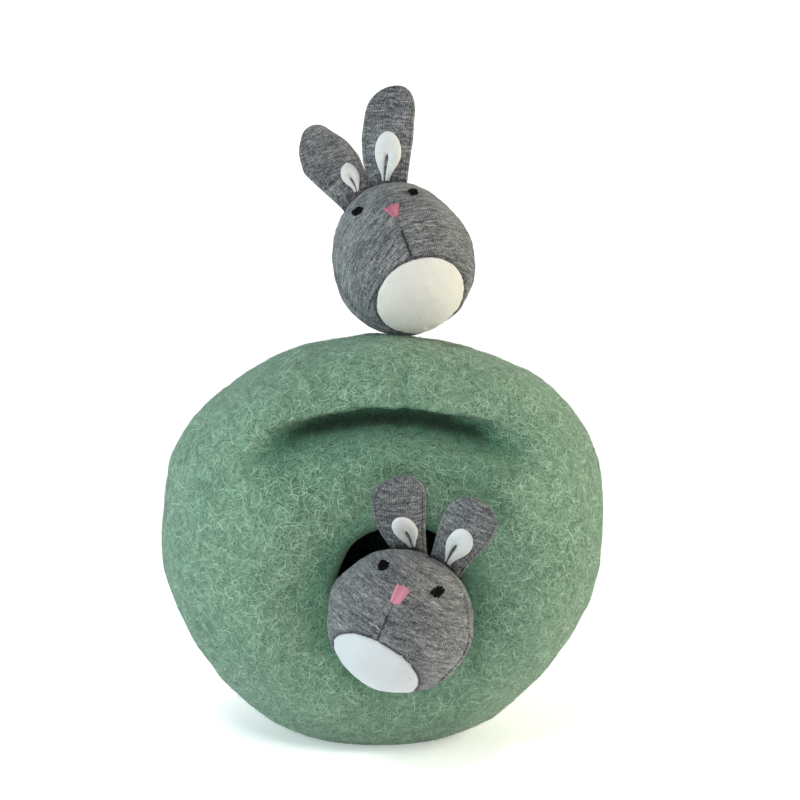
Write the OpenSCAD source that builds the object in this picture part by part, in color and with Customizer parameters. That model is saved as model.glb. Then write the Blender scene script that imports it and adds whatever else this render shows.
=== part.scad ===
// Felt burrow with two stuffed jersey bunnies: one sits on the roof, one peeks out of the hole.
// Millimetres. +Z up, front towards -Y, origin at the middle of the burrow's flat base.
// Left and right are as seen from the front.

/* [Burrow] */
// Width of the felt burrow
burrow_w = 200; // [180:1:220]
// Depth of the felt burrow, front to back
burrow_d = 150; // [135:1:170]
// Height of the felt burrow
burrow_h = 182.6; // [170:0.2:195]
// Thickness of the felt
felt = 5; // [4:0.5:6]
// Radius of the flat patch that the burrow stands on
base_r = 36; // [30:1:42]
// Diameter of the round hole
hole_d = 63; // [58:1:64]
// How far the roof is folded in under its brow
fold_depth = 26; // [8:1:26]
// How far the brow hangs over the fold
brow_sag = 9; // [0:1:9]
// How far the brow swells forwards above the fold
brow_bulge = 6; // [0:1:8]
// How far the front wall is drawn in around the hole
funnel_depth = 14; // [6:1:16]

/* [Bunnies] */
// Radius of a bunny's body at its widest
body_r = 31.5; // [29:0.5:32]
// Height of the roof bunny's body above its widest line
roof_crown = 39; // [36:0.5:42]
// Height of the peeking bunny's body above its widest line
peek_crown = 29.8; // [29:0.1:31]
// Thickness of the jersey
jersey = 1.2; // [0.8:0.1:1.6]
// Width of an ear at its widest
ear_w = 23; // [20:0.5:25]
// Length of the roof bunny's right ear, the longest of the four
long_ear = 42; // [38:0.5:46]
// Thickness of an ear, both layers
ear_t = 5.2; // [4:0.2:6]

/* [Hidden] */
$fn = 64;
slack = 0.1;              // gap left between neighbouring pieces
far = 400;                // larger than the whole part

/* ---------- where things are ---------- */
hole_at = [8.4, 0, 78];                       // the hole's axis runs along Y through this point
roof_at = [11.9, 8, 213.0];                   // centre of the roof bunny's widest circle
roof_turn = [-26, -22.5, 11];                 // lean forward, lean right, turn to its own left
peek_at = [10.5, -77.5, 71.4];
peek_turn = [-6, 24.3, -16.2];

// Each ear: where its root lies along X and Y, lean to the right, lean forward, turn to its own left,
// gap between its rolled root and the body, and its length
roof_left_ear = [-11, -4, -4, -14, 10, 3, long_ear - 2.5];
roof_right_ear = [6, -4, 23.5, 10, -6, 1.1, long_ear];
peek_left_ear = [-12.5, 4, -22, 43, 10, 0.6, long_ear - 5];
peek_right_ear = [8, 4, 8, 40, 10, 1.5, long_ear - 4];
// Each bunny's eyes: distances of the left and right eye from the centre seam, and their height
roof_eyes = [13.6, 12.8, 24.3];
peek_eyes = [12.9, 12.9, 19.6];

NODES = ["felt_burrow",
  "roof_bunny_left_front_panel", "roof_bunny_right_front_panel",
  "roof_bunny_left_back_panel", "roof_bunny_right_back_panel",
  "roof_bunny_belly_patch", "roof_bunny_stuffing", "roof_bunny_left_eye", "roof_bunny_right_eye",
  "roof_bunny_nose", "roof_bunny_mouth_seam", "roof_bunny_closing_stitch",
  "roof_bunny_left_ear_front", "roof_bunny_left_ear_back", "roof_bunny_left_ear_lining",
  "roof_bunny_right_ear_front", "roof_bunny_right_ear_back", "roof_bunny_right_ear_lining",
  "peek_bunny_left_front_panel", "peek_bunny_right_front_panel",
  "peek_bunny_left_back_panel", "peek_bunny_right_back_panel",
  "peek_bunny_belly_patch", "peek_bunny_stuffing", "peek_bunny_left_eye", "peek_bunny_right_eye",
  "peek_bunny_nose", "peek_bunny_mouth_seam", "peek_bunny_closing_stitch",
  "peek_bunny_left_ear_front", "peek_bunny_left_ear_back", "peek_bunny_left_ear_lining",
  "peek_bunny_right_ear_front", "peek_bunny_right_ear_back", "peek_bunny_right_ear_lining"];
node = "all";

felt_green = [0.45, 0.60, 0.50];
jersey_grey = [0.42, 0.43, 0.46];
soft_white = [0.88, 0.87, 0.84];
thread_black = [0.05, 0.05, 0.06];
thread_pink = [0.85, 0.42, 0.52];
fibre_white = [0.95, 0.95, 0.95];

/* ---------- the felt burrow ---------- */
half_w = burrow_w / 2;
half_d = burrow_d / 2;
core_z = sqrt(half_w * half_w - base_r * base_r);   // height of the widest line
crown = burrow_h - core_z;
fold_mid = [7, 155];                                // the fold's highest point, X and Z
fold_half = 62;                                     // half its width
fold_drop = 13;                                     // how much lower its ends are
fold_below = 11;                                    // how far the fold's deep part fades out downwards
fold_fade = 28;                                     // and its shallow part, the hollow under it
fold_above = 8.5;                                   // and upwards, under the brow
funnel_r = 68;                                      // where the funnel around the hole ends
lean = 0.022;                                       // sideways, per height
press = 1;                                          // how deep the roof bunny sits in

function step01(t) = let (u = min(1, max(0, t))) u * u * (3 - 2 * u);
function bell(t) = exp(-t * t);

// Distance along the ray from the hole's axis to an ellipsoid of the given half sizes
function ray(o, d, a) =
  let (p = [for (i = [0:2]) d[i] / a[i]], q = [for (i = [0:2]) o[i] / a[i]],
       pp = p * p, pq = p * q, qq = q * q - 1)
  (-pq + sqrt(pq * pq - pp * qq)) / pp;

// A point of the plain, undented pod: inset is 0 outside and the felt's thickness inside
function pod(theta, phi, inset) =
  let (d = [sin(theta) * cos(phi), -cos(theta), sin(theta) * sin(phi)],
       o = [hole_at.x, 0, hole_at.z - core_z],
       up = [half_w - inset, half_d - inset, crown - inset],
       down = [half_w - inset, half_d - inset, half_w - inset],
       t = ray(o, d, up), hit = o + t * d)
  (hit.z >= 0 ? hit : o + ray(o, d, down) * d) + [0, 0, core_z];

// The folds of the soft pod, as shears of space, so that inner and outer face never cross
function front_share(y) = step01((25 - y) / 75);
function fold_line(x) = let (u = (x - fold_mid.x) / fold_half) fold_mid.y - fold_drop * u * u;
function fold_share(x) = let (u = (x - fold_mid.x) / fold_half) step01((1.15 - abs(u)) / 0.65);
function tuck(s) = s < 0 ? 0.62 * bell(s / fold_below) + 0.38 * bell(s / fold_fade) : bell(s / fold_above);
function tucked(p) =
  let (s = p.z - fold_line(p.x))
  [p.x, p.y + (fold_depth * tuck(s) - brow_bulge * bell((s - 14) / 12)) * fold_share(p.x)
    * front_share(p.y), p.z];
function funnelled(p) =
  let (r = norm([p.x - hole_at.x, p.z - hole_at.z]), t = (funnel_r - r) / (funnel_r - hole_d / 2))
  [p.x, p.y + funnel_depth * step01(t) * front_share(p.y), p.z];
function sagged(p) =
  let (s = p.z - fold_line(p.x))
  [p.x, p.y, p.z - brow_sag * step01(s / 14) * bell(max(0, s - 14) / 14) * fold_share(p.x)
    * step01((-20 - p.y) / 25)];
// The roof bunny's weight presses the felt in a little
function pressed(p) = [p.x, p.y, p.z - press * bell(norm([p.x - roof_at.x, p.y - roof_at.y]) / 17)
  * step01((p.z - 100) / 40)];
function rested(p, floor_z) = [p.x, p.y, max(p.z, floor_z)];
// Fuller shoulders, slightly slimmer hips, and a slight lean to the right
function filled(p) = let (k = 1 + 0.07 * bell((p.z - 154) / 26) - 0.02 * bell((p.z - 28) / 24))
  [p.x * k + lean * p.z, p.y, p.z];
function pod_point(theta, phi, inset) =
  rested(pressed(sagged(funnelled(tucked(filled(pod(theta, phi, inset)))))), inset);

rim_theta = atan(hole_d / 2 / (half_d * 0.94));     // the angle at which the rim lies
around = 60;
rings = 34;
// The rings lie closer together where they cross the fold, between 36 and 78 degrees
function theta_at(i) = lookup(i, [[0, rim_theta], [3, 36], [20, 78], [rings, 180]]);

module felt_burrow() {
  function ring_at(i, inset) = [for (k = [0:around - 1]) pod_point(theta_at(i), k * 360 / around, inset)];
  outer = [for (i = [rings - 1:-1:0]) ring_at(i, 0)];
  rim = [[for (k = [0:around - 1])
    let (a = pod_point(rim_theta, k * 360 / around, 0), b = pod_point(rim_theta, k * 360 / around, felt))
    (a + b) / 2 - [cos(k * 360 / around), 0, sin(k * 360 / around)] * felt * 0.35]];
  inner = [for (i = [0:rings - 1]) ring_at(i, felt)];
  loops = concat(outer, rim, inner);
  last = len(loops) - 1;
  back_out = len(loops) * around;
  back_in = back_out + 1;
  points = concat([for (l = loops) each l], [pod_point(180, 0, 0), pod_point(180, 0, felt)]);
  walls = [for (i = [0:last - 1], k = [0:around - 1])
    let (a = i * around + k, b = i * around + (k + 1) % around, c = a + around, d = b + around)
    each [[a, c, b], [b, c, d]]];
  caps = [for (k = [0:around - 1]) each [[back_out, k, (k + 1) % around],
    [back_in, last * around + (k + 1) % around, last * around + k]]];
  color(felt_green) polyhedron(points, concat(walls, caps));
}

/* ---------- a bunny, in its own frame: centre of the widest circle at the origin ---------- */
seam_y = -4;                       // the side seam's plane, between front and back panels
patch_tilt = 32;                   // the belly patch faces forward and down, this far from straight down
patch_out = 23.6;                  // distance of the patch's seam plane from the body's centre
thread_h = 0.7;                    // how proud the embroidery stands

// Egg outline made of true arcs: a half circle below, and a side arc and a cap above. A crown that is
// lower than the body's radius is squashed: its side arc is tighter and its cap blunter
module egg_outline(crown_h, grow) {
  side_r = crown_h < body_r ? 0.7 * body_r : 0.93 * crown_h * crown_h / body_r;
  side_x = side_r - body_r;
  cap_z = (side_x * side_x - pow(side_r - crown_h, 2)) / (2 * (side_r - crown_h));
  cap_r = crown_h - cap_z;
  meet = (side_r + grow) * abs(cap_z) / norm([side_x, cap_z]);
  intersection() {
    circle(body_r + grow);
    translate([0, -far]) square([far, far]);
  }
  intersection() {
    translate([-side_x, 0]) circle(side_r + grow);
    square([far, meet]);
  }
  intersection() {
    translate([0, cap_z]) circle(cap_r + grow);
    translate([0, meet]) square([far, far]);
  }
}
module egg(crown_h, grow) { rotate_extrude() egg_outline(crown_h, grow); }
module skin(crown_h) {
  rotate_extrude() difference() {
    egg_outline(crown_h, 0);
    egg_outline(crown_h, -jersey);
  }
}
// The belly patch's own frame, in which it lies beyond a level seam plane
module to_patch() { rotate([180 - patch_tilt, 0, 0]) children(); }
module patch_side(shift) { translate([-far / 2, -far / 2, patch_out + shift]) cube(far); }
// One gore: side is -1 for left and 1 for right, face is -1 for front and 1 for back
module panel(crown_h, side, face) {
  color(jersey_grey) intersection() {
    difference() {
      skin(crown_h);
      to_patch() patch_side(-slack / 2);
    }
    translate([side > 0 ? slack / 2 : -far - slack / 2,
      face > 0 ? seam_y + slack / 2 : seam_y - slack / 2 - far, -far / 2]) cube(far);
  }
}
module belly_patch() {
  color(soft_white) to_patch() intersection() {
    difference() {
      sphere(body_r);
      sphere(body_r - jersey);
    }
    patch_side(slack / 2);
  }
}
module stuffing(crown_h) { color(fibre_white) egg(crown_h, -jersey - slack); }
// A pad of stitches: what a prism pointing forwards at height z cuts out of a thin layer on the body
module on_face(crown_h, at, tilt, height) {
  intersection() {
    difference() {
      egg(crown_h, height);
      egg(crown_h, slack / 2);
    }
    translate([at.x, 0, at.y]) rotate([90, 0, 0]) rotate([0, 0, tilt]) linear_extrude(far) children();
  }
}
module eye(crown_h, eyes, side) {
  color(thread_black) on_face(crown_h, [side * eyes[side < 0 ? 0 : 1], eyes[2]], side * -24, thread_h)
    polygon([for (a = [0:15:345]) [1.9 * cos(a), 2.3 * sin(a)]]);
}
module nose(crown_h) {
  color(thread_pink) on_face(crown_h, [0, crown_h * 0.415], 0, thread_h)
    polygon([[-3.6, 2.6], [-2.6, 3.3], [2.6, 3.3], [3.6, 2.6],
      [1.7, -3.2], [0.8, -3.8], [-0.8, -3.8], [-1.7, -3.2]]);
}
module mouth_seam(crown_h) {
  color(thread_black) on_face(crown_h, [0, -1], 0, 0.4) square([0.6, 14], center = true);
}
module closing_stitch(crown_h) {
  color(fibre_white) rotate([88, 0, 0]) on_face(crown_h, [0, 0], 0, 0.4) square([0.6, 4], center = true);
}
// Half width of an ear at a share t of its length
function ear_half(t) = ear_w / 2 * (0.62 + 0.38 * sin(180 * min(1, t * 0.82 + 0.1)))
  * sqrt(max(0, 1 - pow(max(0, t - 0.6) / 0.4, 2.4)));
module ear_outline(len) {
  steps = 16;
  polygon(concat([for (i = [0:steps]) [ear_half(i / steps), len * i / steps]],
    [for (i = [steps - 1:-1:0]) [-ear_half(i / steps), len * i / steps]]));
}
// One layer of an ear, standing along Z with its root rolled round the X axis. face as in panel
module ear_layer(len, face) {
  color(jersey_grey) intersection() {
    union() {
      translate([0, ear_t / 2, 0]) rotate([90, 0, 0]) linear_extrude(ear_t) ear_outline(len);
      rotate([0, 90, 0]) cylinder(h = 2 * ear_half(0), r = ear_t / 2, center = true);
    }
    translate([-far / 2, face > 0 ? slack / 2 : -far - slack / 2, -far / 2]) cube(far);
  }
}
module ear_lining(len) {
  wide = 5.4;
  tall = len * 0.52;
  color(soft_white) translate([0, -ear_t / 2 - slack / 2, 1.5]) rotate([90, 0, 0]) linear_extrude(1.4)
    polygon([for (a = [0:15:345]) let (v = (1 + sin(a)) / 2) [wide * cos(a) * (0.35 + 0.65 * v), tall * v]]);
}
// Where an ear's root lies on the side seam of the body, and how the ear stands
function ear_root(crown_h, e) =
  let (x = e[0], y = e[1], z = crown_h * sqrt(1 - (x * x + y * y) / (body_r * body_r)),
       n = [x / (body_r * body_r), y / (body_r * body_r), z / (crown_h * crown_h)])
  [x, y, z - 0.2] + (ear_t / 2 + e[5]) * n / norm(n);
// One piece of an ear in place: piece is -1 for its front layer, 1 for its back layer and 0 for its lining
module ear(crown_h, e, piece) {
  translate(ear_root(crown_h, e)) rotate([e[3], e[2], 0]) rotate([0, 0, e[4]])
    if (piece == 0) ear_lining(e[6]); else ear_layer(e[6], piece);
}
module placed(at, turn) {
  translate(at) rotate([0, turn[1], 0]) rotate([turn[0], 0, 0]) rotate([0, 0, turn[2]]) children();
}
module roof_bunny() { placed(roof_at, roof_turn) children(); }
module peek_bunny() { placed(peek_at, peek_turn) children(); }
function wanted(name) = node == "all" || node == name;

if (wanted("felt_burrow")) felt_burrow();
if (wanted("roof_bunny_left_front_panel")) roof_bunny() panel(roof_crown, -1, -1);
if (wanted("roof_bunny_right_front_panel")) roof_bunny() panel(roof_crown, 1, -1);
if (wanted("roof_bunny_left_back_panel")) roof_bunny() panel(roof_crown, -1, 1);
if (wanted("roof_bunny_right_back_panel")) roof_bunny() panel(roof_crown, 1, 1);
if (wanted("roof_bunny_belly_patch")) roof_bunny() belly_patch();
if (wanted("roof_bunny_stuffing")) roof_bunny() stuffing(roof_crown);
if (wanted("roof_bunny_left_eye")) roof_bunny() eye(roof_crown, roof_eyes, -1);
if (wanted("roof_bunny_right_eye")) roof_bunny() eye(roof_crown, roof_eyes, 1);
if (wanted("roof_bunny_nose")) roof_bunny() nose(roof_crown);
if (wanted("roof_bunny_mouth_seam")) roof_bunny() mouth_seam(roof_crown);
if (wanted("roof_bunny_closing_stitch")) roof_bunny() closing_stitch(roof_crown);
if (wanted("roof_bunny_left_ear_front")) roof_bunny() ear(roof_crown, roof_left_ear, -1);
if (wanted("roof_bunny_left_ear_back")) roof_bunny() ear(roof_crown, roof_left_ear, 1);
if (wanted("roof_bunny_left_ear_lining")) roof_bunny() ear(roof_crown, roof_left_ear, 0);
if (wanted("roof_bunny_right_ear_front")) roof_bunny() ear(roof_crown, roof_right_ear, -1);
if (wanted("roof_bunny_right_ear_back")) roof_bunny() ear(roof_crown, roof_right_ear, 1);
if (wanted("roof_bunny_right_ear_lining")) roof_bunny() ear(roof_crown, roof_right_ear, 0);
if (wanted("peek_bunny_left_front_panel")) peek_bunny() panel(peek_crown, -1, -1);
if (wanted("peek_bunny_right_front_panel")) peek_bunny() panel(peek_crown, 1, -1);
if (wanted("peek_bunny_left_back_panel")) peek_bunny() panel(peek_crown, -1, 1);
if (wanted("peek_bunny_right_back_panel")) peek_bunny() panel(peek_crown, 1, 1);
if (wanted("peek_bunny_belly_patch")) peek_bunny() belly_patch();
if (wanted("peek_bunny_stuffing")) peek_bunny() stuffing(peek_crown);
if (wanted("peek_bunny_left_eye")) peek_bunny() eye(peek_crown, peek_eyes, -1);
if (wanted("peek_bunny_right_eye")) peek_bunny() eye(peek_crown, peek_eyes, 1);
if (wanted("peek_bunny_nose")) peek_bunny() nose(peek_crown);
if (wanted("peek_bunny_mouth_seam")) peek_bunny() mouth_seam(peek_crown);
if (wanted("peek_bunny_closing_stitch")) peek_bunny() closing_stitch(peek_crown);
if (wanted("peek_bunny_left_ear_front")) peek_bunny() ear(peek_crown, peek_left_ear, -1);
if (wanted("peek_bunny_left_ear_back")) peek_bunny() ear(peek_crown, peek_left_ear, 1);
if (wanted("peek_bunny_left_ear_lining")) peek_bunny() ear(peek_crown, peek_left_ear, 0);
if (wanted("peek_bunny_right_ear_front")) peek_bunny() ear(peek_crown, peek_right_ear, -1);
if (wanted("peek_bunny_right_ear_back")) peek_bunny() ear(peek_crown, peek_right_ear, 1);
if (wanted("peek_bunny_right_ear_lining")) peek_bunny() ear(peek_crown, peek_right_ear, 0);
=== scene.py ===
import math

import bpy
import numpy as np
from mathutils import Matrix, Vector
from mathutils.bvhtree import BVHTree


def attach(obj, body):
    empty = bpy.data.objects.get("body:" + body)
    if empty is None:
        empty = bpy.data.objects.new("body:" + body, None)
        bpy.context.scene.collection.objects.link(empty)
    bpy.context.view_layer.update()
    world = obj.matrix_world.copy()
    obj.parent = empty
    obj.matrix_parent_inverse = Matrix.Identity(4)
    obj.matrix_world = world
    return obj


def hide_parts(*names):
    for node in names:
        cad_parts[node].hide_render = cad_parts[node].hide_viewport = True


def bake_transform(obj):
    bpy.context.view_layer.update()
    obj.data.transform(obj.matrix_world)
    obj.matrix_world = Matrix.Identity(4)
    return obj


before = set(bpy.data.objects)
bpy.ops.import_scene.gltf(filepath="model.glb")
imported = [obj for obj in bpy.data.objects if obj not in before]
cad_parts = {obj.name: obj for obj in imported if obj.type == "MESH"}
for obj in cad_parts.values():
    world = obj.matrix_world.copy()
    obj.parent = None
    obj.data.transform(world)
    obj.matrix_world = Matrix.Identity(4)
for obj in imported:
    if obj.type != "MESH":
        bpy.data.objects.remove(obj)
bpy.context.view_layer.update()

# Modelling below is in millimetres, in the frame of the CAD; meshes are scaled to metres as they are made.
MM = 0.001


# ---------------------------------------------------------------- meshes
def mesh_object(name, verts, faces, mat):
    me = bpy.data.meshes.new(name)
    verts = np.asarray(verts, float) * MM
    me.from_pydata(verts.tolist(), [], faces if isinstance(faces, list) else faces.tolist())
    me.validate()
    me.polygons.foreach_set("use_smooth", [True] * len(me.polygons))
    me.materials.append(mat)
    ob = bpy.data.objects.new(name, me)
    bpy.context.scene.collection.objects.link(ob)
    return ob


def vector_attribute(ob, name, values):
    a = ob.data.attributes.new(name, "FLOAT_VECTOR", "POINT")
    a.data.foreach_set("vector", np.asarray(values, np.float32).ravel())


def float_attribute(ob, name, values):
    a = ob.data.attributes.new(name, "FLOAT", "POINT")
    a.data.foreach_set("value", np.asarray(values, np.float32).ravel())


def grid_faces(rows, cols, closed):
    """Quads over a grid of rows by cols; closed joins the last column to the first."""
    i, k = np.meshgrid(np.arange(rows - 1), np.arange(cols if closed else cols - 1), indexing="ij")
    a = i * cols + k
    b = i * cols + (k + 1) % cols
    return np.stack([a, b, b + cols, a + cols], -1).reshape(-1, 4)


def side_walls(rows, cols):
    """Quads that join the side edges of two grids of rows by cols, whose vertices follow one another."""
    off = rows * cols
    i = np.arange(rows - 1)
    faces = []
    for k, flip in ((0, False), (cols - 1, True)):
        a = i * cols + k
        q = np.stack([a, a + cols, a + cols + off, a + off], -1)
        faces += (q[:, ::-1] if flip else q).tolist()
    return faces


def unit(v):
    return v / np.maximum(np.linalg.norm(v, axis=-1, keepdims=True), 1e-12)


def step01(t):
    u = np.clip(t, 0, 1)
    return u * u * (3 - 2 * u)


def bell(t):
    return np.exp(-t * t)


def waves(points, wavelength, seed, count=48):
    """Smooth band-limited noise, about -1 to 1."""
    rng = np.random.default_rng(seed)
    k = unit(rng.normal(size=(count, 3))) * (2 * math.pi / wavelength) * rng.uniform(0.65, 1.35, (count, 1))
    phase = rng.uniform(0, 2 * math.pi, count)
    return np.cos(points @ k.T + phase).sum(1) / math.sqrt(count / 2) * 0.6


def turn(axis, degrees):
    c, s = math.cos(math.radians(degrees)), math.sin(math.radians(degrees))
    return np.array({"x": [[1, 0, 0], [0, c, -s], [0, s, c]], "y": [[c, 0, s], [0, 1, 0], [-s, 0, c]],
                     "z": [[c, -s, 0], [s, c, 0], [0, 0, 1]]}[axis], float)


def tube(path, radius, normal, sides=6):
    """Vertices and faces of a closed-ended tube along a path on a surface with this normal. The radius may be
    one per point."""
    path = np.asarray(path, float)
    radius = np.broadcast_to(radius, len(path))
    t = unit(np.gradient(path, axis=0))
    a = unit(np.cross(t, normal))
    b = np.cross(t, a)
    ang = np.arange(sides) * 2 * math.pi / sides
    ring = (path[:, None] + radius[:, None, None]
            * (np.cos(ang)[None, :, None] * a[:, None] + np.sin(ang)[None, :, None] * b[:, None]))
    verts = np.concatenate([ring.reshape(-1, 3), path[:1], path[-1:]])
    faces = grid_faces(len(path), sides, True).tolist()
    s, e = len(verts) - 2, len(verts) - 1
    last = (len(path) - 1) * sides
    faces += [[s, (k + 1) % sides, k] for k in range(sides)]
    faces += [[e, last + k, last + (k + 1) % sides] for k in range(sides)]
    return verts, faces


def joined(parts):
    """One mesh out of several pairs of vertices and faces."""
    verts, faces, at = [], [], 0
    for v, f in parts:
        verts.append(v)
        faces += [[i + at for i in face] for face in f]
        at += len(v)
    return np.concatenate(verts), faces


# ---------------------------------------------------------------- materials
class Graph:
    """A short way to write a node material."""

    def __init__(self, name):
        self.mat = bpy.data.materials.new(name)
        self.mat.use_nodes = True
        self.tree = self.mat.node_tree
        self.tree.nodes.clear()
        self.out = self.node("ShaderNodeOutputMaterial")

    def node(self, kind, settings=(), **inputs):
        n = self.tree.nodes.new(kind)
        for k, v in dict(settings).items():
            setattr(n, k, v)
        for k, v in inputs.items():
            self.put(n.inputs[int(k[1:]) if k[0] == "i" and k[1:].isdigit() else k.replace("_", " ")], v)
        return n

    def put(self, socket, value):
        if isinstance(value, bpy.types.NodeSocket):
            self.tree.links.new(value, socket)
        else:
            socket.default_value = value

    def math(self, op, a, b=0.0, clamp=False):
        return self.node("ShaderNodeMath", {"operation": op, "use_clamp": clamp}, i0=a, i1=b).outputs[0]

    def xyz(self, vector):
        n = self.node("ShaderNodeSeparateXYZ", i0=vector)
        return n.outputs[0], n.outputs[1], n.outputs[2]

    def vec(self, x, y, z=0.0):
        return self.node("ShaderNodeCombineXYZ", i0=x, i1=y, i2=z).outputs[0]

    def noise(self, vector, scale=1.0, detail=2.0, roughness=0.5, distortion=0.0):
        n = self.node("ShaderNodeTexNoise", {"noise_dimensions": "3D"}, Vector=vector, Scale=scale,
                      Detail=detail, Roughness=roughness, Distortion=distortion)
        return n.outputs[0]

    def ramp(self, fac, stops):
        n = self.node("ShaderNodeValToRGB", i0=fac)
        e = n.color_ramp.elements
        while len(e) < len(stops):
            e.new(0.5)
        for el, (p, c) in zip(e, stops):
            el.position = p
            el.color = (*c, 1)
        return n.outputs[0]

    def mix(self, fac, a, b, blend="MIX"):
        n = self.node("ShaderNodeMix", {"data_type": "RGBA", "blend_type": blend})
        self.put(n.inputs[0], fac)
        self.put(n.inputs[6], a if isinstance(a, bpy.types.NodeSocket) else (*a, 1))
        self.put(n.inputs[7], b if isinstance(b, bpy.types.NodeSocket) else (*b, 1))
        return n.outputs[2]

    def bump(self, height, distance, strength):
        return self.node("ShaderNodeBump", Strength=strength, Distance=distance, Height=height).outputs[0]

    def gray(self, value):
        return self.node("ShaderNodeCombineColor", i0=value, i1=value, i2=value).outputs[0]

    def cell(self, vector):
        """One random value for each whole-numbered cell."""
        return self.node("ShaderNodeTexWhiteNoise", {"noise_dimensions": "3D"}, Vector=vector).outputs[0]

    def surface(self, color, rough, normal=None, sheen=0.3, tint=(1, 1, 1), gloss=0.15):
        p = self.node("ShaderNodeBsdfPrincipled", Base_Color=color, Roughness=rough)
        p.inputs["Sheen Weight"].default_value = sheen
        p.inputs["Sheen Roughness"].default_value = 0.6
        p.inputs["Sheen Tint"].default_value = (*tint, 1)
        p.inputs["Specular IOR Level"].default_value = gloss
        if normal is not None:
            self.put(p.inputs["Normal"], normal)
        self.tree.links.new(p.outputs[0], self.out.inputs[0])
        return self.mat

    def attribute(self, name):
        return self.node("ShaderNodeAttribute", {"attribute_name": name}).outputs["Vector"]

    def coords(self):
        return self.node("ShaderNodeTexCoord").outputs["Object"]

    def shaded(self, color, deep=(1, 1, 1)):
        """Darkens a colour by the attribute shade: cloth deep in a fold or a seam, where little light comes.
        deep has each channel's power, because light that bounces in coloured cloth takes on its colour."""
        f = self.node("ShaderNodeAttribute", {"attribute_name": "shade"}).outputs["Fac"]
        r, g, b = (self.math("POWER", f, k) for k in deep)
        tint = self.node("ShaderNodeCombineColor", i0=r, i1=g, i2=b).outputs[0]
        return self.mix(1.0, color, tint, "MULTIPLY")


FELT_DARK, FELT_MID, FELT_PALE = (0.029, 0.070, 0.042), (0.096, 0.181, 0.116), (0.201, 0.320, 0.219)
# Each colour channel's power in the felt's painted shade, deep in the fold and by the hole
FELT_SHADE_POWERS = (1.45, 0.85, 1.05)
# Scale per metre, line width and warp of each web of matted fibres
FELT_WEBS = [(310, 0.016, 1.2), (430, 0.018, 1.6), (620, 0.022, 1.4), (250, 0.011, 2.2)]


def felt_material():
    g = Graph("wool_felt")
    p = g.coords()
    patchy = g.noise(p, 26, 3, 0.55)
    fine = g.noise(p, 1150, 4, 0.7)
    tone = g.math("ADD", g.math("MULTIPLY", patchy, 0.35), g.math("MULTIPLY", fine, 0.65))
    base = g.ramp(tone, [(0.36, FELT_DARK), (0.50, FELT_MID), (0.66, FELT_PALE)])
    # Matted fibres: thin contour lines of warped noises look like a tangle of curled wool
    webs = []
    for i, (scale, width, warp) in enumerate(FELT_WEBS):
        away_from_last = (0.37 * i, 0.11 * i, -0.23 * i)
        moved = g.node("ShaderNodeVectorMath", {"operation": "ADD"}, i0=p, i1=away_from_last).outputs[0]
        away = g.math("ABSOLUTE", g.math("SUBTRACT", g.noise(moved, scale, 1.5, 0.5, warp), 0.5))
        webs.append(g.math("SUBTRACT", 1.0, g.math("DIVIDE", away, width), clamp=True))
    web = g.math("MAXIMUM", g.math("MAXIMUM", webs[0], webs[1]), g.math("MAXIMUM", webs[2], webs[3]))
    fibre = g.ramp(g.noise(p, 140, 2, 0.5), [(0.3, (0.160, 0.270, 0.190)), (0.7, (0.250, 0.385, 0.280))])
    color = g.mix(g.math("MULTIPLY", web, 0.60), base, fibre)
    height = g.math("ADD", g.math("MULTIPLY", web, 0.5), g.math("MULTIPLY", fine, 1.1))
    normal = g.bump(height, 0.0006, 0.8)
    return g.surface(g.shaded(color, FELT_SHADE_POWERS), 0.95, normal, sheen=0.25, tint=(0.8, 1.0, 0.85))


def fibre_material(name, color):
    """Wool fibres: each has a slightly different tone along its length."""
    g = Graph(name)
    tone = g.noise(g.coords(), 300, 2)
    color = g.mix(tone, tuple(0.65 * c for c in color), tuple(1.35 * c for c in color))
    return g.surface(g.shaded(color, FELT_SHADE_POWERS), 0.9, sheen=0.2)


def knit_heights(g, u, v, wale=1.0, course=0.78):
    """Relief of stocking stitch: rows of V shapes in upright wales."""
    across = g.math("ABSOLUTE", g.math("SINE", g.math("MULTIPLY", u, math.pi / wale)))
    shift = g.math("MULTIPLY", g.math("PINGPONG", u, wale / 2), 0.9)
    rows = g.math("SINE", g.math("MULTIPLY", g.math("ADD", v, shift), 2 * math.pi / course))
    return across, rows


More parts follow.
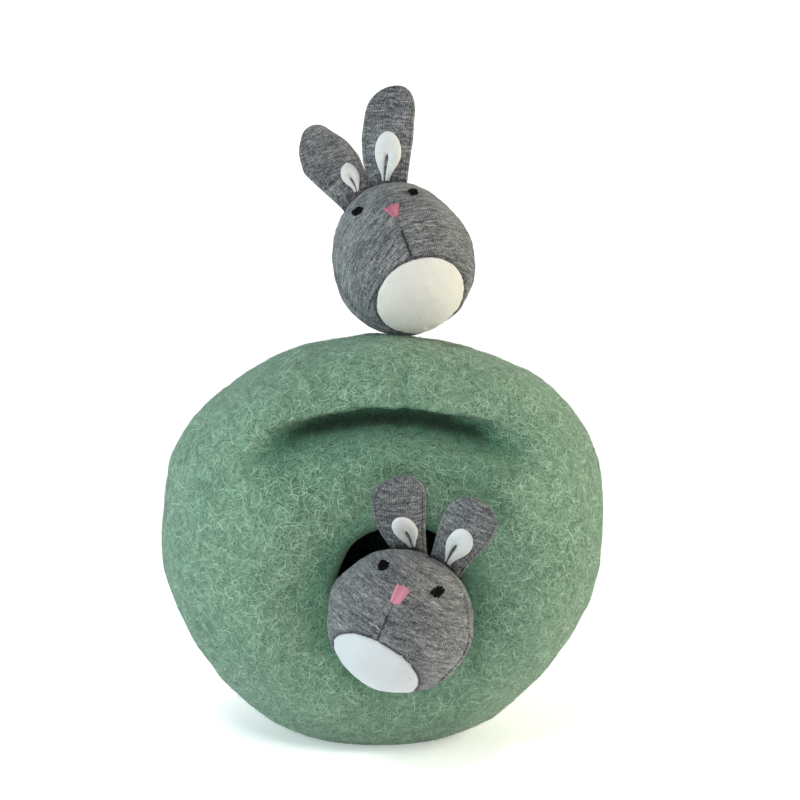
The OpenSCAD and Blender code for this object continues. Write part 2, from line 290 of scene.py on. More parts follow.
def jersey_material():
    """Grey melange sock jersey. The attribute knit holds millimetres across and along the wales, and a
    number for the panel."""
    g = Graph("grey_melange_jersey")
    u, v, w = g.xyz(g.attribute("knit"))
    drift = g.noise(g.vec(g.math("MULTIPLY", u, 0.22), g.math("MULTIPLY", v, 0.22), w), 1, 1)
    v2 = g.math("ADD", v, g.math("MULTIPLY", g.math("SUBTRACT", drift, 0.5), 1.6))
    row = g.math("FLOOR", g.math("DIVIDE", v2, 0.55))
    seed = g.math("MULTIPLY", w, 17.3)
    yarn = g.noise(g.vec(g.math("MULTIPLY", u, 0.26), g.math("MULTIPLY", row, 3.71), seed), 1, 3, 0.65)
    along = g.vec(g.math("MULTIPLY", u, 0.11), g.math("MULTIPLY", v2, 0.80), g.math("ADD", seed, 5.0))
    yarn2 = g.noise(along, 1, 3, 0.62)
    stitch = g.cell(g.vec(g.math("FLOOR", g.math("DIVIDE", u, 0.5)), row, seed))
    cloud = g.noise(g.vec(g.math("MULTIPLY", u, 0.05), g.math("MULTIPLY", v, 0.07), seed), 1, 1)
    t = g.math("ADD", g.math("MULTIPLY", yarn, 0.42), g.math("MULTIPLY", yarn2, 0.34))
    t = g.math("ADD", t, g.math("MULTIPLY", stitch, 0.14))
    t = g.math("ADD", t, g.math("MULTIPLY", cloud, 0.10))
    color = g.ramp(t, [(0.37, (0.014, 0.015, 0.018)), (0.45, (0.058, 0.060, 0.066)),
                       (0.52, (0.116, 0.118, 0.124)), (0.59, (0.185, 0.184, 0.182)),
                       (0.70, (0.360, 0.350, 0.330))])
    across, rows = knit_heights(g, u, v2)
    # painted shade: the colour is darkened in the grooves between the wales
    dark = g.math("ADD", 0.66, g.math("MULTIPLY", across, 0.46))
    color = g.mix(1.0, color, g.gray(dark), "MULTIPLY")
    height = g.math("ADD", across, g.math("MULTIPLY", rows, 0.25))
    return g.surface(g.shaded(color), 0.92, g.bump(height, 0.00016, 0.8), sheen=0.12)


def white_material(name, light, dark, rib):
    """White ribbed jersey with painted shade in the grooves between the wales; rib is how dark that painted
    shade is, from 0 to 1.
    """
    g = Graph(name)
    u, v, w = g.xyz(g.attribute("knit"))
    across, rows = knit_heights(g, u, v, 1.0, 0.7)
    tone = g.noise(g.vec(g.math("MULTIPLY", u, 0.15), g.math("MULTIPLY", v, 0.15), w), 1, 2)
    base = g.mix(tone, tuple(0.9 * c for c in light), light)
    # painted shade: the grooves between the wales take the colour dark
    color = g.mix(g.math("ADD", 1 - rib, g.math("MULTIPLY", g.math("POWER", across, 0.45), rib)), dark, base)
    height = g.math("ADD", across, g.math("MULTIPLY", rows, 0.15))
    return g.surface(color, 0.9, g.bump(height, 0.00012 * rib, 0.6), sheen=0.2)


def lining_material():
    g = Graph("white_brushed_lining")
    p = g.attribute("knit")
    tone = g.noise(p, 0.35, 2)
    color = g.mix(tone, (0.38, 0.385, 0.385), (0.51, 0.51, 0.495))
    return g.surface(color, 0.95, g.bump(g.noise(p, 3.5, 3), 0.0001, 0.5), sheen=0.4)


def thread_material(name, dark, light, sheen=0.15, gloss=0.15):
    g = Graph(name)
    n = g.noise(g.coords(), 1400, 2)
    strand = g.cell(g.attribute("knit"))
    tone = g.math("ADD", g.math("MULTIPLY", n, 0.5), g.math("MULTIPLY", strand, 0.6))
    return g.surface(g.mix(tone, dark, light), 0.7, g.bump(n, 0.00005, 0.6), sheen=sheen, gloss=gloss)


FELT = felt_material()
JERSEY = jersey_material()
# The second colour of each is the painted shade in the grooves between the wales
CREAM_RIB = white_material("white_ribbed_jersey", (0.520, 0.508, 0.475), (0.36, 0.345, 0.31), 1.0)
WHITE_RIB = white_material("white_smooth_jersey", (0.430, 0.440, 0.460), (0.34, 0.35, 0.37), 0.40)
LINING = lining_material()
BLACK = thread_material("black_thread", (0.0012, 0.0012, 0.0015), (0.004, 0.004, 0.005), sheen=0, gloss=0.04)
PINK = thread_material("pink_thread", (0.15, 0.030, 0.055), (0.47, 0.15, 0.21))
PALE_PINK = thread_material("pale_pink_thread", (0.22, 0.050, 0.090), (0.56, 0.24, 0.32))
DARK_THREAD = thread_material("dark_seam_thread", (0.006, 0.006, 0.008), (0.022, 0.023, 0.027), sheen=0)
CREAM = thread_material("cream_thread", (0.52, 0.50, 0.45), (0.66, 0.64, 0.58))

# ---------------------------------------------------------------- the felt burrow
WIDTH, DEPTH, HEIGHT, THICK, BASE_R = 200, 150, 182.6, 5, 36
HOLE_D, FOLD_DEPTH, BROW_SAG, BROW_BULGE, FUNNEL = 63, 26, 9, 6, 14
HOLE_X, HOLE_Z = 8.4, 78
CORE_Z = math.sqrt(WIDTH ** 2 / 4 - BASE_R ** 2)
CROWN = HEIGHT - CORE_Z
FOLD_X, FOLD_Z, FOLD_HALF, FOLD_DROP, FOLD_BELOW, FOLD_FADE, FOLD_ABOVE = 4, 155, 60, 17, 11, 28, 8.5
FUNNEL_R, LEAN, PRESS, WRINKLE_X = 68, 0.022, 1, 12
# Where the roof bunny lies
ROOF_X, ROOF_Y = 11.9, 8
# Height and wavelength of the felt's lumps
FELT_LUMPS = [(0.9, 46), (0.28, 17), (0.14, 6), (0.09, 2.6)]


def ray(o, d, a):
    """How far it is from o along each d to an ellipsoid with half axes a."""
    p, q = d / a, o / a
    pp, pq, qq = (p * p).sum(1), (p * q).sum(1), (q * q).sum() - 1
    return (-pq + np.sqrt(pq * pq - pp * qq)) / pp


def pod(theta, phi, inset):
    """The plain pod, seen from inside: theta is the angle from the hole's axis, phi the one around it."""
    d = np.stack([np.sin(theta) * np.cos(phi), -np.cos(theta), np.sin(theta) * np.sin(phi)], 1)
    o = np.array([HOLE_X, 0, HOLE_Z - CORE_Z])
    up = np.array([WIDTH / 2 - inset, DEPTH / 2 - inset, CROWN - inset])
    down = np.array([WIDTH / 2 - inset, DEPTH / 2 - inset, WIDTH / 2 - inset])
    high = o + ray(o, d, up)[:, None] * d
    low = o + ray(o, d, down)[:, None] * d
    return np.where(high[:, 2:] >= 0, high, low) + [0, 0, CORE_Z]


def folded(p, inset):
    """The soft pod's folds. The one under the brow ends lower and fades more softly than the CAD's."""
    p = p.copy()
    p[:, 0] *= 1 + 0.07 * bell((p[:, 2] - 154) / 26) - 0.02 * bell((p[:, 2] - 28) / 24)
    p[:, 0] += LEAN * p[:, 2]
    front = step01((25 - p[:, 1]) / 75)
    u = (p[:, 0] - FOLD_X) / FOLD_HALF
    share = step01((1.18 - np.abs(u)) / 0.78)
    s = p[:, 2] - (FOLD_Z - FOLD_DROP * u * u)
    tuck = np.where(s < 0, 0.62 * bell(s / FOLD_BELOW) + 0.38 * bell(s / FOLD_FADE), bell(s / FOLD_ABOVE))
    p[:, 1] += (FOLD_DEPTH * tuck - BROW_BULGE * bell((s - 14) / 12)) * share * front
    r = np.hypot(p[:, 0] - HOLE_X, p[:, 2] - HOLE_Z)
    front = step01((25 - p[:, 1]) / 75)
    p[:, 1] += FUNNEL * step01((FUNNEL_R - r) / (FUNNEL_R - HOLE_D / 2)) * front
    s = p[:, 2] - (FOLD_Z - FOLD_DROP * u * u)
    sag = BROW_SAG * step01(s / 14) * bell(np.maximum(0, s - 14) / 14)
    p[:, 2] -= sag * share * step01((-20 - p[:, 1]) / 25)
    press = PRESS * bell(np.hypot(p[:, 0] - ROOF_X, p[:, 1] - ROOF_Y) / 17)
    p[:, 2] -= press * step01((p[:, 2] - 100) / 40)
    p[:, 2] = np.maximum(p[:, 2], inset)
    return p


def pod_surface(theta, phi, inset):
    return folded(pod(theta, phi, inset), inset)


def crease_shade(p):
    """How much light reaches the felt, from 0 to 1: little deep under the brow, and less than elsewhere in
    the hollow below it, by the hole and in the brow's wrinkle."""
    u = (p[:, 0] - FOLD_X) / FOLD_HALF
    s = p[:, 2] - (FOLD_Z - 3 - FOLD_DROP * u * u)
    share = step01((1.12 - np.abs(u)) / 0.5)
    front = p[:, 1] < 0
    pocket = np.where(s < 0, bell(s / 6), bell(s / 4.5)) * share
    hollow = np.where(s < 0, bell(s / 24), 0) * share
    r = np.hypot(p[:, 0] - HOLE_X, p[:, 2] - HOLE_Z + 4)
    hole = bell(np.maximum(0, r - 34) / 7)
    wrinkle = bell((p[:, 0] - WRINKLE_X) / 1.6) * step01((p[:, 2] - 150) / 8) * step01((182 - p[:, 2]) / 10)
    light = (1 - 0.76 * pocket) * (1 - 0.26 * hollow) * (1 - 0.38 * hole) * (1 - 0.20 * wrinkle)
    return np.where(front, light, 1.0)


def build_burrow():
    """The felt shell as one grid: from the back over the outside to the rim, and back along the inside."""
    rim_theta = math.atan(HOLE_D / 2 / (DEPTH / 2 * 0.94))
    cols, outer_rows, rim_rows, inner_rows = 300, 190, 6, 60
    # rows are packed closely around the fold and the rim
    t = np.linspace(0, 1, outer_rows) ** 1.25
    outer_t = rim_theta + (math.pi - rim_theta) * t[::-1]
    inner_t = rim_theta + (math.pi - rim_theta) * np.linspace(0, 1, inner_rows)
    phi = np.arange(cols) * 2 * math.pi / cols
    rows = []
    for th in outer_t:
        rows.append(pod_surface(np.full(cols, th), phi, 0))
    a, b = rows[-1], pod_surface(np.full(cols, rim_theta), phi, THICK)
    radial = np.stack([np.cos(phi), np.zeros(cols), np.sin(phi)], 1)
    for k in range(1, rim_rows + 1):
        ang = k / (rim_rows + 1) * math.pi
        rows.append((a + b) / 2 + (a - b) / 2 * math.cos(ang) - radial * THICK * 0.42 * math.sin(ang))
    for th in inner_t:
        rows.append(pod_surface(np.full(cols, th), phi, THICK))
    grid = np.array(rows)
    flat = grid.reshape(-1, 3)
    du = np.roll(grid, -1, 1) - np.roll(grid, 1, 1)
    dv = np.gradient(grid, axis=0)
    normal = unit(np.cross(du, dv)).reshape(-1, 3)
    centre = np.array([0, 0, 88.0])
    probe = outer_rows // 2
    outward = np.sign((normal.reshape(grid.shape)[probe, 0] * (grid[probe, 0] - centre)).sum())
    normal *= outward
    x, y, z = flat.T
    lumps = sum(high * waves(flat, wavelength, 1 + i) for i, (high, wavelength) in enumerate(FELT_LUMPS))
    # a soft upright wrinkle on the brow, and a shallow valley that runs on from the fold's right end
    wrinkle = 1.1 * bell((x - WRINKLE_X) / 1.6) * step01((z - 153) / 8) * step01((182 - z) / 10)
    valley = 3.0 * bell((z - 137 - 0.05 * (x - 60)) / 8) * step01((x - 48) / 14) * step01((92 - x) / 16)
    lumps -= wrinkle * (y < 0)
    lumps -= valley * (y < 0)
    grounded = step01((z - 1.0) / 10)
    flat = flat + normal * (lumps * grounded)[:, None]
    flat[:, 2] = np.maximum(flat[:, 2], 0.0)
    poles = [pod_surface(np.array([math.pi]), np.zeros(1), inset) for inset in (0, THICK)]
    verts = np.concatenate([flat, *poles])
    faces = grid_faces(len(grid), cols, True).tolist()
    out_pole, in_pole = len(verts) - 2, len(verts) - 1
    last = (len(grid) - 1) * cols
    faces += [[out_pole, (k + 1) % cols, k] for k in range(cols)]
    faces += [[in_pole, last + k, last + (k + 1) % cols] for k in range(cols)]
    if outward < 0:
        faces = [f[::-1] for f in faces]
    ob = mesh_object("felt_burrow_shell", verts, faces, FELT)
    float_attribute(ob, "shade", crease_shade(verts))
    return ob, outer_rows * cols


burrow, outside_verts = build_burrow()
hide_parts("felt_burrow")
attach(burrow, "burrow")


# ---------------------------------------------------------------- loose wool fibres
def surface_tree(ob):
    me = ob.data
    co = np.zeros(len(me.vertices) * 3)
    me.vertices.foreach_get("co", co)
    return BVHTree.FromPolygons((co.reshape(-1, 3) / MM).tolist(), [list(p.vertices) for p in me.polygons])


def scatter(ob, count, rng, keep):
    """Random points on a mesh, spread evenly by area, with normals, in millimetres."""
    me = ob.data
    me.calc_loop_triangles()
    co = np.zeros(len(me.vertices) * 3)
    me.vertices.foreach_get("co", co)
    co = co.reshape(-1, 3) / MM
    tri = np.zeros(len(me.loop_triangles) * 3, int)
    me.loop_triangles.foreach_get("vertices", tri)
    tri = tri.reshape(-1, 3)
    tri = tri[keep(co[tri].mean(1), tri)]
    a, b, c = co[tri[:, 0]], co[tri[:, 1]], co[tri[:, 2]]
    area = np.linalg.norm(np.cross(b - a, c - a), axis=1)
    pick = rng.choice(len(tri), count, p=area / area.sum())
    r1, r2 = np.sqrt(rng.uniform(size=count)), rng.uniform(size=count)
    w = np.stack([1 - r1, r1 * (1 - r2), r1 * r2], 1)
    p = (co[tri[pick]] * w[:, :, None]).sum(1)
    n = unit(np.cross(b - a, c - a))[pick]
    return p, n


def fibres(name, mat, tree, start, normal, rng, length, curl, width, lift, points=7):
    """Flat ribbons that wander over a surface; lift gives each point's height over it."""
    count = len(start)
    p, n = start.copy(), normal.copy()
    d = unit(np.cross(n, rng.normal(size=(count, 3))))
    step = (length * rng.uniform(0.6, 1.4, count) / (points - 1))[:, None]
    bend = rng.normal(0, curl, count)
    spine, norms = [p.copy()], [n.copy()]
    for k in range(points - 1):
        bend = bend + rng.normal(0, curl * 0.5, count)
        d = unit(d * np.cos(bend)[:, None] + np.cross(n, d) * np.sin(bend)[:, None])
        q = p + d * step
        for i in range(count):
            p[i], n[i] = tree.find_nearest(q[i])[:2]
        d = unit(d - n * (d * n).sum(1)[:, None])
        spine.append(p.copy())
        norms.append(n.copy())
    spine, norms = np.array(spine), np.array(norms)
    t = np.linspace(0, 1, points)[:, None]
    spine = spine + norms * lift(t, rng.uniform(size=count)[None, :])[:, :, None]
    tangent = unit(np.gradient(spine, axis=0))
    side = unit(np.cross(tangent, norms))
    taper = 0.35 + 0.65 * np.sin(math.pi * np.clip(t, 0.04, 0.96))
    w = (width * rng.uniform(0.7, 1.3, count)[None, :] * taper)[:, :, None] / 2
    verts = np.stack([spine - side * w, spine + side * w], 2).transpose(1, 0, 2, 3).reshape(-1, 3)
    i, k = np.meshgrid(np.arange(count), np.arange(points - 1), indexing="ij")
    a = i * points * 2 + k * 2
    faces = np.stack([a, a + 1, a + 3, a + 2], -1).reshape(-1, 4)
    ob = mesh_object(name, verts, faces, mat)
    float_attribute(ob, "shade", crease_shade(verts))
    return ob


def matted(t, r):
    return 0.10 + 0.30 * r * np.sin(math.pi * t)


def loose(t, r):
    return 0.1 + (0.3 + 0.9 * r) * np.sin(math.pi * np.clip(t * 1.2, 0, 1)) * (0.4 + 0.6 * r)


def fuzzy(t, r):
    return 0.05 + (0.4 + 1.3 * r) * t ** 1.3


# Name, colour, count, length, curl, width and lift of each layer
FIBRES = [("felt_fibres_deep", (0.054, 0.110, 0.069), 16500, 6.5, 0.40, 0.20, matted),
          ("felt_fibres_mid", (0.135, 0.240, 0.158), 16500, 7.5, 0.38, 0.20, matted),
          ("felt_fibres_soft", (0.170, 0.288, 0.195), 16500, 7.5, 0.38, 0.20, matted),
          ("felt_fibres_pale", (0.225, 0.358, 0.248), 16500, 8, 0.40, 0.18, matted),
          ("felt_fibres_light", (0.363, 0.517, 0.380), 10000, 8, 0.42, 0.15, loose),
          ("felt_fuzz", (0.250, 0.370, 0.280), 3500, 3.6, 0.5, 0.10, fuzzy)]


def dress_burrow():
    tree = surface_tree(burrow)
    rng = np.random.default_rng(7)

    def outside(c, tri):
        return (tri.max(1) < outside_verts) & (c[:, 2] > 1.5)

    share = 1.0
    for name, color, count, length, curl, width, lift in FIBRES:
        p, n = scatter(burrow, int(count * share), rng, outside)
        ob = fibres(name, fibre_material(name, color), tree, p, n, rng, length, curl, width, lift)
        ob.parent = burrow


dress_burrow()


# ---------------------------------------------------------------- the bunnies
BODY_R, SEAM_Y, PATCH_TILT, PATCH_OUT, EAR_T = 31.5, -4, 32, 23.6, 5.2
EYE_TALL, EYE_WIDE, EYE_LEAN, NOSE_SHARE = 4.5, 4.1, 24, 0.415
PATCH_AXIS = np.array([0, -math.sin(math.radians(PATCH_TILT)), -math.cos(math.radians(PATCH_TILT))])
PATCH_ANGLE = math.acos(PATCH_OUT / BODY_R)


class Bunny:
    """A bunny's body in its own frame: Z to the crown, -Y its face. Its arcs are those of the CAD's egg."""

    def __init__(self, name, crown, at, turns, eyes, grain, seed):
        self.name, self.crown, self.eyes, self.grain, self.seed = name, crown, eyes, grain, seed
        self.body = name
        self.at = np.array(at, float)
        self.turn = turn("y", turns[1]) @ turn("x", turns[0]) @ turn("z", turns[2])
        side_r = 0.7 * BODY_R if crown < BODY_R else 0.93 * crown ** 2 / BODY_R
        side_x = side_r - BODY_R
        cap_z = (side_x ** 2 - (side_r - crown) ** 2) / (2 * (side_r - crown))
        self.arcs = side_r, side_x, cap_z, crown - cap_z, side_r * abs(cap_z) / math.hypot(side_x, cap_z)

    def world(self, p):
        return self.at + np.asarray(p, float) @ self.turn.T

    def profile(self, z):
        side_r, side_x, cap_z, cap_r, meet = self.arcs
        z = np.asarray(z, float)
        return np.where(z < 0, np.sqrt(np.maximum(BODY_R ** 2 - z ** 2, 0)),
                        np.where(z < meet, np.sqrt(np.maximum(side_r ** 2 - z ** 2, 0)) - side_x,
                                 np.sqrt(np.maximum(cap_r ** 2 - (z - cap_z) ** 2, 0))))

    def face(self, x, z):
        """Points and outward normals on the front of the body, for arrays of x and z in its own frame."""
        x, z = np.asarray(x, float), np.asarray(z, float)
        y = -np.sqrt(np.maximum(self.profile(z) ** 2 - x ** 2, 0.01))
        slope = (self.profile(z + 0.05) - self.profile(z - 0.05)) / 0.1
        r = self.profile(z)
        return np.stack([x, y, z], -1), unit(np.stack([x / r, y / r, -slope], -1))


def groove(s, width, depth):
    return -depth * bell(s / width)


def build_body(b):
    """The four jersey panels as one sewn skin, with seams, small puckers and the stuffing's lumps."""
    rows, cols = 250, 380
    below = -BODY_R * np.cos(np.linspace(0.02, math.pi / 2, 400))
    above = b.crown * np.sin(np.linspace(0, math.pi / 2 - 0.02, 400))
    zs = np.concatenate([below, above[1:]])
    rs = b.profile(zs)
    arc = np.concatenate([[0], np.cumsum(np.hypot(np.diff(zs), np.diff(rs)))])
    v = np.linspace(0, arc[-1], rows)
    z, r = np.interp(v, arc, zs), np.interp(v, arc, rs)
    slope = np.gradient(r, v), np.gradient(z, v)
    az = np.arange(cols) * 2 * math.pi / cols + 0.5 * math.pi / cols
    A, Z = np.meshgrid(az, z)
    R = np.repeat(r[:, None], cols, 1)
    V = np.repeat(v[:, None], cols, 1)
    rest = np.stack([R * np.sin(A), -R * np.cos(A), Z], -1).reshape(-1, 3)
    nr = np.repeat(slope[1][:, None], cols, 1)
    nz = np.repeat(-slope[0][:, None], cols, 1)
    normal = unit(np.stack([nr * np.sin(A), -nr * np.cos(A), nz], -1).reshape(-1, 3))
    front = rest[:, 1] < SEAM_Y
    centre = np.abs(rest[:, 0])
    side = np.abs(rest[:, 1] - SEAM_Y)
    patch = (np.arccos(np.clip(unit(rest) @ PATCH_AXIS, -1, 1)) - PATCH_ANGLE) * BODY_R
    h = 0.45 * waves(rest, 22, b.seed) + 0.16 * waves(rest, 8, b.seed + 1) + 0.05 * waves(rest, 3, b.seed + 2)
    below_nose = step01((b.seam[0] + 1.5 - rest[:, 2]) / 3)
    h += np.where(front, groove(centre, 0.7, 0.18 + 0.55 * below_nose), groove(centre, 0.8, 0.6))
    h += groove(side, 0.9, 0.75) + 0.25 * bell((side - 2.2) / 1.5)
    h += np.where(patch > 0, groove(patch, 1.0, 0.55), -1.6 * step01(-patch / 1.2))
    pucker = waves(rest, 3.4, b.seed + 3)
    h += 0.16 * pucker * (bell(side / 3.2) + 0.7 * bell(centre / 2.6) * np.where(front, below_nose, 1))
    h += 0.22 * waves(rest, 2.6, b.seed + 4) * bell(np.maximum(patch, 0) / 2.2)
    # the ears' roots draw the crown in a little
    h += -0.5 * bell(np.hypot(rest[:, 0], rest[:, 1]) / 9)
    pos = rest + normal * h[:, None]
    faces = grid_faces(rows, cols, True)
    keep = (patch[faces] > -2.4).any(1)
    faces = faces[keep].tolist()
    bottom, top = len(pos), len(pos) + 1
    pos = np.concatenate([pos, pos[:cols].mean(0)[None], pos[-cols:].mean(0)[None]])
    last = (rows - 1) * cols
    if patch[:cols].max() > -2.4:
        faces += [[bottom, (k + 1) % cols, k] for k in range(cols)]
    faces += [[top, last + k, last + (k + 1) % cols] for k in range(cols)]
    # across the wales is the distance around from the middle line of the front or the back, and each panel is
    # cut on its own grain
    ang = np.arctan2(rest[:, 0], -rest[:, 1])
    back_ang = np.arctan2(rest[:, 0], rest[:, 1])
    across = R.reshape(-1) * np.where(front, ang, back_ang)
    along = V.reshape(-1)
    panel = np.where(front, 1, 3) + (rest[:, 0] > 0)
    left, right = (math.radians(degrees) for degrees in b.grain)
    grain = np.select([panel == 1, panel == 2, panel == 3], [left, right, 0.1], -0.08)
    c, s = np.cos(grain), np.sin(grain)
    knit = np.stack([across * c - along * s, across * s + along * c, panel + b.seed], -1)
    knit = np.concatenate([knit, knit[:1], knit[-1:]])
    ob = mesh_object(b.name + "_jersey_body", b.world(pos), faces, JERSEY)
    vector_attribute(ob, "knit", knit)
    # painted shade: the jersey is darker in the seams, along the patch's edge and where the ears meet the
    # crown
    seams = 0.45 * bell(side / 0.7) + np.where(front, 0.22 * below_nose, 0.4) * bell(centre / 0.6)
    shade = (1 - np.minimum(seams, 0.6)) * (1 - 0.45 * bell(patch / 0.9))
    for x, y in b.roots:
        shade *= 1 - 0.5 * bell(np.hypot((rest[:, 0] - x) / 9.5, (rest[:, 1] - y) / 3.6)) * (rest[:, 2] > 0)
    float_attribute(ob, "shade", np.concatenate([shade, [1, 1]]))
    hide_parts(*[f"{b.name}_{s}_{f}_panel" for s in ("left", "right") for f in ("front", "back")],
                f"{b.name}_stuffing")
    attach(ob, b.body)
    return ob


def build_patch(b):
    """The white belly patch: a disc of ribbed jersey, tucked in along its seam."""
    rows, cols = 90, 220
    e1 = np.array([1.0, 0, 0])
    e2 = np.cross(PATCH_AXIS, e1)
    t = np.linspace(0.012, 1, rows) * (PATCH_ANGLE + 0.012)
    ph = np.arange(cols) * 2 * math.pi / cols
    T, P = np.meshgrid(t, ph, indexing="ij")
    around = np.cos(P)[..., None] * e1 + np.sin(P)[..., None] * e2
    d = (np.cos(T)[..., None] * PATCH_AXIS + np.sin(T)[..., None] * around).reshape(-1, 3)
    rest = d * BODY_R
    edge = (PATCH_ANGLE - T.reshape(-1)) * BODY_R
    h = 0.35 + 0.3 * waves(rest, 20, b.seed + 6) + 0.08 * waves(rest, 7, b.seed + 7)
    h += -1.15 * bell(np.maximum(edge, 0) / 0.9) - 0.6 * step01(-edge / 0.5)
    h += 0.20 * waves(rest, 2.6, b.seed + 4) * bell(edge / 2.4)
    # the closing stitch pulls a small dimple into the lower part
    dimple = np.linalg.norm(rest - closing_point(b)[0], axis=1)
    h += groove(dimple, 1.6, 0.7)
    pos = np.concatenate([rest + d * h[:, None], PATCH_AXIS[None] * (BODY_R + 0.5)])
    faces = grid_faces(rows, cols, True).tolist() + [[len(pos) - 1, (k + 1) % cols, k] for k in range(cols)]
    along = np.arctan2(rest @ e2, rest @ PATCH_AXIS) * BODY_R
    knit = np.stack([rest @ e1 + 0.5, along, np.full(len(rest), b.seed)], -1)
    knit = np.concatenate([knit, knit[:1]])
    ob = mesh_object(b.name + "_belly_patch_cloth", b.world(pos), faces, b.white)
    vector_attribute(ob, "knit", knit)
    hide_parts(b.name + "_belly_patch")
    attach(ob, b.body)
    return ob


def closing_point(b):
    """Where the closing stitch lies, near the bottom of the patch, and the normal there."""
    n = turn("x", 88) @ np.array([0, -1.0, 0])
    return n * BODY_R, n


def satin(b, name, mat, strands, radius, lift, node):
    """Embroidery: each strand is a line of (x, z) points on the face, laid side by side as raised threads."""
    parts = []
    for line in strands:
        line = np.asarray(line, float)
        k = np.linspace(0, 1, 12)
        x = np.interp(k, np.linspace(0, 1, len(line)), line[:, 0])
        z = np.interp(k, np.linspace(0, 1, len(line)), line[:, 1])
        p, n = b.face(x, z)
        arch = lift * np.sin(math.pi * k) ** 0.5 - 0.25 * (1 - np.sin(math.pi * k) ** 0.4)
        thread = radius * (0.75 + 0.25 * np.sin(math.pi * k))
        parts.append(tube(b.world(p + n * arch[:, None]), thread, b.turn @ n[len(n) // 2]))
    v, f = joined(parts)
    ob = mesh_object(name, v, f, mat)
    strand = np.repeat(np.arange(len(parts)), [len(p[0]) for p in parts])
    vector_attribute(ob, "knit", np.stack([strand, strand * 0 + b.seed, strand * 0], -1))
    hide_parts(node)
    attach(ob, b.body)


def build_face(b):
    """Eyes, nose, the dark seam below the nose and the closing stitch."""
    rng = np.random.default_rng(b.seed + 20)
    for side, word in ((-1, "left"), (1, "right")):
        cx, cz, tilt = side * b.eyes[side > 0], b.eyes[2], math.radians(side * -EYE_LEAN)
        strands = []
        for k in np.linspace(-1, 1, 9):
            half = EYE_TALL / 2 * math.sqrt(1 - (0.93 * k) ** 2) * rng.uniform(0.86, 1.16)
            off = np.array([k * EYE_WIDE / 2, 0]) + rng.normal(0, 0.1, 2)
            ends = [off + [0.25, half], off + [-0.1, 0], off + [-0.25, -half]]
            c, s = math.cos(tilt), math.sin(tilt)
            strands.append([(cx + x * c + z * s, cz - x * s + z * c) for x, z in ends])
        node = f"{b.name}_{word}_eye"
        satin(b, node + "_stitches", BLACK, strands, 0.36, 0.42, node)
    strands = []
    zc = b.crown * NOSE_SHARE
    wide, tall, foot = b.nose
    for k in np.linspace(-1, 1, 13):
        top = tall * 0.47 - 0.5 * abs(k) + rng.normal(0, 0.14)
        strands.append([(k * wide / 2, zc + top), (k * (wide + foot) / 4, zc - 0.2),
                        (k * foot / 2, zc - tall * 0.5 + 0.35 * abs(k) + rng.normal(0, 0.12))])
    satin(b, b.name + "_nose_stitches", b.nose_thread, strands, 0.31, 0.45, b.name + "_nose")
    # the seam that runs down from the nose, sewn in dark thread
    z = np.linspace(*b.seam, 60)
    x = 0.18 * np.sin(z * 1.9) + 0.1 * np.sin(z * 4.1)
    p, n = b.face(x, z)
    sunk = (-0.12 + 0.10 * np.sin(z * 3.3))[:, None]
    v, f = tube(b.world(p + n * sunk), b.seam_thread, b.turn @ n[len(n) // 2])
    ob = mesh_object(b.name + "_mouth_seam_thread", v, f, DARK_THREAD)
    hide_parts(b.name + "_mouth_seam")
    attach(ob, b.body)
    c, n = closing_point(b)
    across = np.array([1.0, 0, 0])
    tangent = np.cross(n, across)
    k = np.linspace(-1, 1, 14)[:, None]
    path = c + tangent * k * 1.9 + n * (0.15 * np.cos(k * 3)) + across * 0.15 * np.sin(k * 5)
    v, f = tube(b.world(path), 0.24, b.turn @ n)
    ob = mesh_object(b.name + "_closing_thread", v, f, CREAM)
    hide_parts(b.name + "_closing_stitch")
    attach(ob, b.body)


